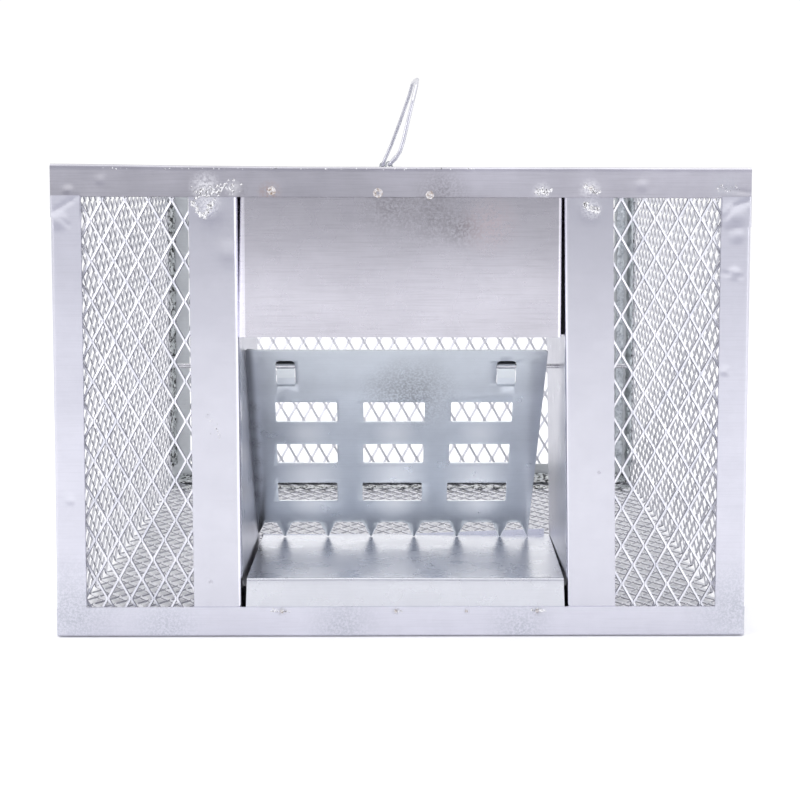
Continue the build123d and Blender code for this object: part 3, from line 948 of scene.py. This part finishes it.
def sill_shape(point):
    """Trodden plate: set to the right, narrower at its top, wider at its back right."""
    height = max(0.0, point.z / sill_top)
    behind = max(0.0, (point.y - sill_low.y) / (sill_high.y - sill_low.y))
    shift = Vector((sill_aside - sill_taper * point.x * height, 0, 0))
    if point.x > 0:
        shift.x += sill_flare * behind * point.x / sill_high.x
    if point.z > sill_top - 2 * mm:
        shift.z += 0.22 * mm * waves(point, 60 * mm, 31.0) - 0.15 * mm
    if point.y < sill_low.y + 3 * mm:
        shift.y += 0.10 * mm * waves(point, 30 * mm, 33.0)
    return shift


sill_front, sill_back = sill_low.y + sheet / 2, sill_high.y - sheet / 2
sill_foot = sill_low.z + 0.2 * mm
folded("threshold", sheet_outline(
    [(sill_front, sill_foot), (sill_front, sill_line), (sill_back, sill_line),
     (sill_back, sill_foot)], sheet, 1.0 * mm), along_x, sill_low.x, sill_high.x,
    "cage", sill_metal, (sill_shape,), node="threshold_box")


def lip_shape(point):
    """The upstand grows from nothing at the left to its full height at the right."""
    across = max(0.0, point.x / sill_high.x)
    above = max(0.0, point.z - sill_top)
    return Vector((0.8 * mm, 0, above * (0.8 * across - 1)))


lip_line = sill_high.y - sheet * 1.3
lip_inset = 1.4 * mm
folded("threshold_lip", sheet_outline(
    [(lip_line, sill_top - 6 * mm), (lip_line, sill_high.z)], sheet * 0.9, 1.0 * mm, 1.5 * mm),
    along_x, sill_low.x + lip_inset, sill_high.x - lip_inset, "cage", sill_metal,
    (lip_shape,))

# --------------------------------------------------------------------- flap
flap_lean = math.radians(38.15)
down_flap = Vector((0, math.sin(flap_lean), -math.cos(flap_lean)))
flap_front = Vector((0, -math.cos(flap_lean), -math.sin(flap_lean)))
flap_frame = Matrix((
    (1, 0, 0, 0),
    (0, -down_flap.y, flap_front.y, rod_centre.y),
    (0, -down_flap.z, flap_front.z, rod_centre.z),
    (0, 0, 0, 1)))
flap_above = 13.0 * mm
flap_below = 130.7 * mm
flap_gap = rod_radius + 0.25 * mm        # from the rod axis to the back of the sheet
flap_left_top, flap_right_top = -81.1 * mm, 75.8 * mm
flap_left_toe, flap_right_toe = -81.7 * mm, 71.2 * mm
teeth = 8
tooth_height = 11.5 * mm
tooth_pitch = 24.3 * mm
tooth_tip, tooth_root = 1.0 * mm, 8.5 * mm


def toothed_edge():
    """Points along the toe of the flap, left to right, with rounded roots."""
    points = []
    toe_middle = (flap_left_toe + flap_right_toe) / 2
    for number in range(teeth):
        middle = toe_middle + (number - (teeth - 1) / 2) * tooth_pitch
        middle = min(max(middle, flap_left_toe + tooth_tip / 2), flap_right_toe - tooth_tip / 2)
        for side in (-1, 1):
            if (number == 0 and side < 0) or (number == teeth - 1 and side > 0):
                continue
            root = middle + side * tooth_root / 2
            tip = middle + side * tooth_tip / 2
            flank = [(tip, -flap_below),
                     (tip + (root - tip) * 0.88, -flap_below + tooth_height * 0.86),
                     (root + side * 0.2 * mm, -flap_below + tooth_height * 0.96),
                     (root + side * 1.5 * mm, -flap_below + tooth_height)]
            points += flank[::-1] if side < 0 else flank
    points[0] = (flap_left_toe, -flap_below)
    points[-1] = (flap_right_toe, -flap_below)
    return points


corner_cut = 1.2 * mm
flap_outline = [(flap_left_top + corner_cut, flap_above), (flap_left_top, flap_above - corner_cut)]
flap_outline += toothed_edge()
flap_outline += [(flap_right_top, flap_above - corner_cut), (flap_right_top - corner_cut, flap_above)]
window_holes = []
for row, drift in ((32.0, 0.0), (63.8, -0.5), (94.3, -1.2)):
    for column in (-1, 0, 1):
        window_holes.append(rounded_rectangle(
            (-4.1 + 46.7 * column + drift) * mm, -row * mm, 33.0 * mm, 15.0 * mm, 0.9 * mm))
tab_middles = (-60.8 * mm, 54.8 * mm)
tab_width = 10.4 * mm
slot_top, slot_foot = 5.6 * mm, -12.2 * mm
tab_holes = []
for middle in tab_middles:
    tab_holes.append(rounded_rectangle(middle, (slot_top + slot_foot) / 2, tab_width,
                                       slot_top - slot_foot, 2.4 * mm))


def flap_shape(point):
    """The flap in its own plane: bowed, with a bent left edge."""
    lift = 0.30 * mm * waves(point, 75 * mm, 41.0) + 0.05 * mm * waves(point, 20 * mm, 43.0)
    from_left = point.x - flap_left_toe
    lift -= 0.8 * mm * max(0.0, 1 - from_left / (7 * mm)) ** 2
    return Vector((0, 0, lift))


flap_mesh = plate_mesh("flap", flap_outline, window_holes + tab_holes, sheet,
                       0.14 * mm, 7 * mm)
move_points(flap_mesh, flap_shape)
flap_mesh.transform(flap_frame @ Matrix.Translation((0, 0, flap_gap + sheet / 2)))
flap_piece = add_object("flap", flap_mesh, "flap", flap_metal)
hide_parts("flap_door")

# the tongues stand up from the foot of their slots, then curl under and round the rod
curl = rod_radius + 0.08 * mm + sheet / 2
sheet_middle = flap_gap + sheet / 2
under_rod = math.radians(-70)
for middle, name in zip(tab_middles, ("left", "right")):
    centre_line = [(slot_foot - 0.6 * mm, sheet_middle), (slot_foot + 1.5 * mm, sheet_middle + 0.5 * mm),
                   (-6.5 * mm, sheet_middle + 0.15 * mm)]
    for step in range(12):
        angle = under_rod - math.radians(22) * step
        centre_line.append((curl * math.sin(angle), curl * math.cos(angle)))
    tongue_mesh = swept_mesh(f"tongue_{name}", sheet_outline(
        centre_line, sheet, 0.01 * mm, 1.2 * mm), along_x,
        middle - tab_width / 2 + 0.45 * mm, middle + tab_width / 2 - 0.45 * mm, 2 * mm)
    tongue_mesh.transform(flap_frame)
    add_object(f"tongue_{name}", tongue_mesh, "flap", flap_metal)
    # behind each slot a thin black plate: painted shadow seen through the slot above the rod
    shadow_plate_mesh = swept_mesh(f"tongue_shadow_plate_{name}", sheet_outline(
        [(0.6 * mm, -curl - 0.1 * mm), (slot_top + 2.2 * mm, -0.6 * mm)], 0.3 * mm, 1 * mm, 1 * mm),
        along_x, middle - tab_width / 2 - 0.6 * mm, middle + tab_width / 2 + 0.6 * mm, 2 * mm)
    shadow_plate_mesh.transform(flap_frame)
    add_object(f"tongue_shadow_plate_{name}", shadow_plate_mesh, "flap", slot_shadow_paint)

# ---------------------------------------------------------------- hinge rod
rod_path = rounded_path([(rod_low.x + 0.6 * mm, rod_centre.y, rod_centre.z),
                         (rod_high.x - 0.6 * mm, rod_centre.y, rod_centre.z)],
                        1 * mm, 12 * mm)
rod_piece = add_object("rod", tube_mesh("rod", rod_path, rod_radius, 20), "cage", rod_metal)
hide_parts("hinge_rod")

# ------------------------------------------------------------------- handle
pivot = Vector(handle_joint["pos_m"])
pivot_axis = Vector(handle_joint["axis"]).normalized()
aside = pivot_axis.cross(Vector((0, 0, 1))).normalized()
wire = 1.2 * mm


def bail_point(along, height, off):
    """A point of the bail, in millimetres along its axis, up, and off to the right."""
    return pivot + (pivot_axis * along + Vector((0, 0, height)) + aside * off) * mm


bail_path = rounded_path([
    bail_point(-66, 4.6, 4.2), bail_point(-67, 0, 0.6), bail_point(-80, 0, 0),
    bail_point(-79.5, 3.5, 3.7), bail_point(-79, 7.5, 6.3), bail_point(-78, 14, 8.4),
    bail_point(-76.5, 24, 10.8), bail_point(-73, 37, 14.0),
    bail_point(-66, 46, 16.4), bail_point(-57, 50.4, 17.4),
    bail_point(0, 52.4, 18.4), bail_point(56, 53.2, 19.2),
    bail_point(65, 46.5, 17.6), bail_point(73, 31, 12.4), bail_point(78, 14, 6.2),
    bail_point(80, 0, 0), bail_point(67, 0, 0), bail_point(67, 5.0, 1.8)],
    1.9 * mm, 4 * mm)
bail_piece = add_object("bail", tube_mesh("bail", bail_path, wire), "handle", handle_metal)
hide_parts("handle_bail")

strap_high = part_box("handle_strap")[1]
strap_length, strap_width = 196 * mm, 26 * mm
strap_mesh = plate_mesh("strap", rounded_rectangle(0, 0, strap_width, strap_length,
                                                   strap_width / 2 - 0.01 * mm, 10),
                        [], sheet, 0.15 * mm, 8 * mm)
turn = Matrix.Rotation(math.atan2(pivot_axis.y, pivot_axis.x) - math.pi / 2, 4, "Z")
strap_mesh.transform(Matrix.Translation((pivot.x, pivot.y, strap_high.z - sheet / 2)) @ turn)
strap_piece = add_object("strap", strap_mesh, "cage", strip_metal)
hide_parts("handle_strap")

clip_radius = wire + 0.1 * mm + sheet / 2
clip_foot = strap_high.z + sheet / 2 - pivot.z
clip_half = 3 * mm


def over_bail(u, v, w):
    """Profile across the bail's axis, carried along it."""
    return pivot + aside * u + Vector((0, 0, v)) + pivot_axis * w


for end, name in ((-1, "front"), (1, "rear")):
    middle = 73.2 * mm * end
    hump = [(-7 * mm, clip_foot), (-clip_radius - 0.9 * mm, clip_foot),
            (-clip_radius, clip_foot + 0.7 * mm)]
    for step in range(0, 181, 20):
        angle = math.radians(step)
        hump.append((-clip_radius * math.cos(angle), clip_radius * math.sin(angle)))
    hump += [(clip_radius, clip_foot + 0.7 * mm), (clip_radius + 0.9 * mm, clip_foot),
             (7 * mm, clip_foot)]
    folded(f"clip_{name}", sheet_outline(hump, sheet * 0.9, 0.01 * mm, 2 * mm), over_bail,
           middle - clip_half, middle + clip_half, "cage", gate_metal,
           spacing=2 * mm, node=f"handle_clip_{name}")

# ------------------------------------------------------------- release gate
guide_low, guide_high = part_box("gate_guide_left")
channel_line = guide_high.y - rail_sheet / 2
for side, name in hands:
    edge_line = side * (half_width - rail_sheet / 2)
    strip(f"guide_{name}", f"gate_guide_{name}", sheet_outline(
        [(edge_line, guide_low.y), (edge_line, channel_line),
         (side * (half_width - 10 * mm), channel_line)], rail_sheet, 1.0 * mm, 2 * mm),
        along_z, guide_low.z, guide_high.z, rear_metal)
gate_sill_low, gate_sill_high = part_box("gate_sill")
strip("gate_sill_strip", "gate_sill", sheet_outline(
    [(gate_sill_low.y, rail_sheet / 2), (channel_line, rail_sheet / 2),
     (channel_line, gate_sill_high.z)], rail_sheet, 1.0 * mm, 2 * mm),
    along_x, -half_width + 10.2 * mm, half_width - 10.2 * mm, rear_metal)


def gate_edge(name, node, low, high, upright):
    """A flat strip of the gate, as thick as the hemmed strip that doubles over the cut edge of its mesh.
    """
    middle = (low.y + high.y) / 2
    if upright:
        line = [(low.x + 0.3 * mm, middle), (high.x - 0.3 * mm, middle)]
        place, start, end = along_z, low.z, high.z
    else:
        line = [(middle, low.z + 0.3 * mm), (middle, high.z - 0.3 * mm)]
        place, start, end = along_x, low.x, high.x
    folded(name, sheet_outline(line, high.y - low.y, bend, 2 * mm), place, start, end,
           "gate", gate_metal, node=node)


for part, upright in (("top", False), ("bottom", False), ("left", True), ("right", True)):
    low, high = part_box(f"gate_strip_{part}")
    gate_edge(f"gate_{part}", f"gate_strip_{part}", low, high, upright)

gate_low, gate_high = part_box("gate_mesh")
expanded_metal("expanded_gate", "gate_mesh",
               (gate_low.x, (gate_low.y + gate_high.y) / 2, gate_low.z),
               (1, 0, 0), (0, 0, 1), 58, 21, gate_high.x - gate_low.x, gate_high.z - gate_low.z,
               strand=1.45 * mm, thick=0.7 * mm, tilt=0.35, bond=1.8 * mm, body="gate")

pull_low, pull_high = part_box("gate_pull")
pull_line, pull_top = pull_low.y + sheet / 2, pull_high.z - sheet / 2
folded("pull", sheet_outline(
    [(pull_line, pull_low.z), (pull_line, pull_top), (pull_high.y, pull_top)],
    sheet, 1.2 * mm, 2 * mm), along_x, pull_low.x, pull_high.x, "gate", gate_metal,
    node="gate_pull")


# -------------------------------------------------------------- spot welds
def weld_mesh(name, centre, radius, out, seed):
    """A small crater: a raised broken ring round a shallow pit."""
    out = Vector(out)
    side = out.orthogonal().normalized()
    other = out.cross(side)
    rings = ((0.0, -0.02), (0.35, 0.0), (0.62, 0.16), (0.80, 0.20), (0.95, 0.08), (1.05, -0.04))
    sectors = 18
    points = [Vector(centre) + out * rings[0][1] * mm]
    for spread, height in rings[1:]:
        for sector in range(sectors):
            angle = 2 * math.pi * sector / sectors
            flat = side * math.cos(angle) + other * math.sin(angle)
            uneven = 1 + 0.18 * noise.noise(flat * 1.8 + Vector((seed, 0, 0)))
            points.append(Vector(centre) + flat * radius * spread * uneven
                          + out * height * mm * (1.2 + noise.noise(flat * 3 + Vector((0, seed, 0)))))
    base = len(points)
    for sector in range(sectors):
        points.append(points[base - sectors + sector] - out * 0.2 * mm)
    faces = [(0, 1 + sector, 1 + (sector + 1) % sectors) for sector in range(sectors)]
    for ring in range(len(rings) - 1):
        faces += band(1 + (ring + 1) * sectors, 1 + ring * sectors, sectors)
    faces.append(tuple(base + sector for sector in range(sectors)))
    return new_mesh(name, points, faces)


def spot_welded(name, centre, radius, out, seed):
    """One spot weld, its radius in millimetres."""
    mesh = weld_mesh(name, centre, radius * mm, out, seed)
    add_object(name, mesh, "cage", spot_weld, 60)


front_out, upwards = (0, -1, 0), (0, 0, 1)
weld_spots = [(-65, 226, 2.1), (-12, 225, 2.3), (14, 224, 2.0), (94.5, 227.5, 1.2),
              (-61, 13, 0.9), (-3, 13, 0.8), (33, 13, 0.7), (69, 13, 0.9)]
for number, (x, z, radius) in enumerate(weld_spots):
    spot_welded(f"weld_{number}", at_front(x, z), radius, front_out, 3.0 + number)
for number, (x, y) in enumerate(((-7, -50), (6, -12), (-5, 34), (7, 62))):
    spot_welded(f"strap_weld_{number}", (pivot.x + x * mm, y * mm, strap_high.z), 2.0,
                upwards, 23.0 + number)
for number in range(7):
    spot_welded(f"rear_weld_{number}", ((-132 + 44 * number) * mm, rear_low.y + 6 * mm, cage_top),
                1.8, upwards, 33.0 + number)


def spatter(name, ends, beads, largest, seed, depth):
    """Beads of molten metal thrown along a line between two places of the front."""
    draw = np.random.RandomState(seed)
    start, end = Vector(at_front(*ends[0])), Vector(at_front(*ends[1]))
    width = ends[2] * mm
    form = bmesh.new()
    for bead in range(beads):
        spread = draw.normal(0, 0.5, 2)
        centre = start.lerp(end, draw.uniform(0, 1))
        centre += Vector((spread[0] * width, 0, spread[1] * width))
        centre.y = front + depth * mm
        size = largest * mm * draw.uniform(0.25, 1) ** 1.5
        dome = bmesh.ops.create_icosphere(form, subdivisions=1, radius=1.0)
        for vertex in dome["verts"]:
            uneven = 1 + 0.25 * noise.noise(vertex.co * 1.7 + Vector((bead, seed, 0)))
            vertex.co = Vector((vertex.co.x * size, vertex.co.y * size * 0.4,
                                vertex.co.z * size)) * uneven + centre
    mesh = bpy.data.meshes.new(name)
    form.to_mesh(mesh)
    form.free()
    add_object(name, mesh, "cage", spatter_metal, 70)


# each is (name, (one end, other end, width), beads, largest, on the posts)
spatters = (
    ("left_rail", ((-103, 224), (-84, 228), 3.2), 90, 0.9, False),
    ("left_post_a", ((-105, 221), (-99, 212.5), 1.2), 60, 1.0, True),
    ("left_post_b", ((-94, 221), (-98.5, 212.5), 1.2), 60, 1.0, True),
    ("right_weld", ((66.5, 226), (73, 226), 1.7), 70, 0.9, False),
    ("right_rail", ((91, 229), (98, 225), 1.6), 45, 0.8, False),
    ("right_post", ((91, 219), (99, 216), 1.7), 70, 0.9, True),
    ("hem", ((-150, 237), (40, 237), 0.5), 60, 0.5, False),
    ("corner", ((158, 228), (168, 227), 1.5), 25, 0.6, False),
    ("post_marks", ((-97, 113), (-92, 101), 2.2), 26, 0.5, True),
    ("foot_a", ((-66, 13.2), (-57, 13.2), 0.9), 40, 0.6, False),
    ("foot_b", ((66, 13.4), (73, 13.4), 1.0), 40, 0.6, False),
    ("foot_c", ((-4, 13.2), (0, 13.2), 0.8), 18, 0.5, False),
)
for number, (name, ends, beads, largest, on_post) in enumerate(spatters, start=1):
    depth = (plate_front - front) / mm if on_post else 0.0
    spatter(f"spatter_{name}", ends, beads, largest, number, depth)

# ------------------------------------------------------- floor, light, camera
reach = 9.0
floor_data = new_mesh("studio_floor", [(-reach, -reach, 0), (reach, -reach, 0),
                                       (reach, reach, 0), (-reach, reach, 0)], [(0, 1, 2, 3)])
studio_floor = linked("studio_floor", floor_data)
studio_floor.location.z = -0.5 * mm
white = Nodes("studio white")
white.shader.inputs["Base Color"].default_value = (0.95, 0.95, 0.96, 1)
white.shader.inputs["Roughness"].default_value = 0.9
white.shader.inputs["Specular IOR Level"].default_value = 0.1
under_cage = white.math("MAXIMUM", white.spread(0, half_width), white.spread(1, -front))
grain_mask = white.math("MULTIPLY", white.ramp(white.noise(3, 2.0), 0, 1, 0.11, 0.13), under_cage)
white.shader.inputs["Emission Color"].default_value = (1, 1, 1, 1)
white.link(grain_mask, white.shader.inputs["Emission Strength"])
floor_data.materials.append(white.material)

world = bpy.data.worlds.new("studio")
bpy.context.scene.world = world
world.use_nodes = True
sky = world.node_tree
background = sky.nodes["Background"]
direction = sky.nodes.new("ShaderNodeTexCoord")
split = sky.nodes.new("ShaderNodeSeparateXYZ")
sky.links.new(direction.outputs["Generated"], split.inputs["Vector"])
fade = sky.nodes.new("ShaderNodeMapRange")
fade.inputs["From Min"].default_value = -0.9
fade.inputs["From Max"].default_value = 0.1
sky.links.new(split.outputs["Y"], fade.inputs["Value"])
tint = sky.nodes.new("ShaderNodeMix")
tint.data_type = "RGBA"
tint.inputs[6].default_value = (0.62, 0.62, 0.70, 1)
tint.inputs[7].default_value = (1.0, 1.0, 1.0, 1)
sky.links.new(fade.outputs["Result"], tint.inputs[0])
sky.links.new(tint.outputs[2], background.inputs["Color"])
background.inputs["Strength"].default_value = 1.05


def soft_light(name, place, target, size, power):
    """A large square lamp aimed at a point."""
    data = bpy.data.lights.new(name, "AREA")
    data.shape = "SQUARE"
    data.size = size
    data.energy = power
    lamp = linked(name, data)
    lamp.location = place
    lamp.rotation_euler = (Vector(target) - Vector(place)).to_track_quat("-Z", "Y").to_euler()


soft_light("overhead", (0.0, -0.3, 2.2), (0, 0, 0), 2.4, 16)
soft_light("left_key", (-1.7, -1.6, 1.1), (0, -0.2, 0.1), 1.2, 9)
soft_light("right_fill", (1.7, -1.5, 0.7), (0, -0.2, 0.1), 1.2, 5)

camera_data = bpy.data.cameras.new("camera")
camera_data.sensor_width = 36.0
camera_data.lens = 92.7
camera_data.shift_x = -0.05
camera_data.shift_y = -0.025
camera_data.clip_end = 50
camera = linked("camera", camera_data)
camera_place = (-0.24 * mm, front - 1031.9 * mm, 235.2 * mm)
turn_left, tilt_up, roll = -1.08, -5.75, 0.13
camera.matrix_world = (
    Matrix.Translation(camera_place)
    @ Matrix.Rotation(math.radians(turn_left), 4, "Z")
    @ Matrix.Rotation(math.radians(90 + tilt_up), 4, "X")
    @ Matrix.Rotation(math.radians(roll), 4, "Z"))
bpy.context.scene.camera = camera
bpy.context.scene.view_settings.view_transform = "Standard"
